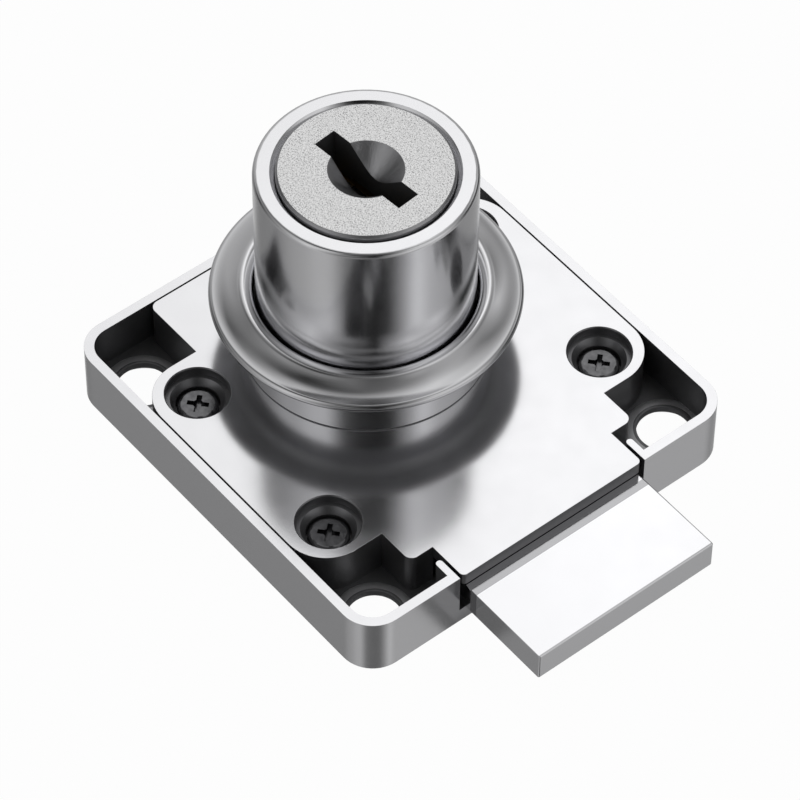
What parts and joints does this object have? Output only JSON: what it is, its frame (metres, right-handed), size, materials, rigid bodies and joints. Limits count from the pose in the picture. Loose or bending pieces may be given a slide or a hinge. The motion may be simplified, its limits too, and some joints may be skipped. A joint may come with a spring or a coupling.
{
  "type": "drawer lock",
  "caption": "Surface-mounted drawer lock: rectangular die-cast case, round key cylinder with a loose trim ring, and a flat sliding bolt.",
  "frame": {"origin": "point where the axis of the key cylinder meets the back face of the case", "axes": "+Z along the cylinder towards the key, +X the way the bolt is thrown, +Y across the bolt"},
  "size_m": [0.0506, 0.0399, 0.0268],
  "materials": {
    "cast_chrome": "polished",
    "ring_chrome": "satin",
    "bolt_chrome": "polished",
    "plug_satin": "satin",
    "cam_steel": "zinc plated",
    "screw_steel": "bright",
    "wafer_brass": "stamped",
    "spring_steel": "drawn"
  },
  "bodies": {
    "case": {"case_tray": "cast_chrome", "cylinder_housing": "cast_chrome", "cover_screws": "screw_steel"},
    "ring": {"trim_ring": "ring_chrome"},
    "plug": {"plug": "plug_satin", "drive_cam": "cam_steel", "retaining_wafer": "wafer_brass", "retaining_spring": "spring_steel", "wafer_spring_1": "spring_steel", "wafer_spring_2": "spring_steel", "wafer_spring_3": "spring_steel", "wafer_spring_4": "spring_steel", "wafer_spring_5": "spring_steel", "wafer_spring_6": "spring_steel"},
    "bolt": {"bolt": "bolt_chrome"},
    "wafer_1": {"wafer_1": "wafer_brass"},
    "wafer_2": {"wafer_2": "wafer_brass"},
    "wafer_3": {"wafer_3": "wafer_brass"},
    "wafer_4": {"wafer_4": "wafer_brass"},
    "wafer_5": {"wafer_5": "wafer_brass"},
    "wafer_6": {"wafer_6": "wafer_brass"}
  },
  "joints": [
    {"name": "ring_lift", "type": "slide", "parent": "case", "child": "ring", "axis": [0, 0, 1], "range_m": [0, 0.0207]},
    {"name": "plug_turn", "type": "hinge", "parent": "case", "child": "plug", "pos_m": [0, 0, 0], "axis": [0, 0, 1], "range_deg": [0, 180]},
    {"name": "bolt_slide", "type": "slide", "parent": "case", "child": "bolt", "axis": [1, 0, 0], "range_m": [-0.0096, 0]},
    {"name": "wafer_slide_1", "type": "slide", "parent": "plug", "child": "wafer_1", "axis": [0.9954, 0.0958, 0], "range_m": [0, 0.0006], "stiffness_N_per_m": 80, "springref_m": 0.0012, "deforming": ["wafer_spring_1"]},
    {"name": "wafer_slide_2", "type": "slide", "parent": "plug", "child": "wafer_2", "axis": [-0.9954, -0.0958, 0], "range_m": [0, 0.0006], "stiffness_N_per_m": 80, "springref_m": 0.0012, "deforming": ["wafer_spring_2"]},
    {"name": "wafer_slide_3", "type": "slide", "parent": "plug", "child": "wafer_3", "axis": [0.9954, 0.0958, 0], "range_m": [0, 0.0006], "stiffness_N_per_m": 80, "springref_m": 0.0012, "deforming": ["wafer_spring_3"]},
    {"name": "wafer_slide_4", "type": "slide", "parent": "plug", "child": "wafer_4", "axis": [-0.9954, -0.0958, 0], "range_m": [0, 0.0006], "stiffness_N_per_m": 80, "springref_m": 0.0012, "deforming": ["wafer_spring_4"]},
    {"name": "wafer_slide_5", "type": "slide", "parent": "plug", "child": "wafer_5", "axis": [0.9954, 0.0958, 0], "range_m": [0, 0.0006], "stiffness_N_per_m": 80, "springref_m": 0.0012, "deforming": ["wafer_spring_5"]},
    {"name": "wafer_slide_6", "type": "slide", "parent": "plug", "child": "wafer_6", "axis": [-0.9954, -0.0958, 0], "range_m": [0, 0.0006], "stiffness_N_per_m": 80, "springref_m": 0.0012, "deforming": ["wafer_spring_6"]}
  ],
  "couplings": [
    {"joint": "plug_turn", "follows": "bolt_slide", "rad_per_m": -327.25}
  ]
}
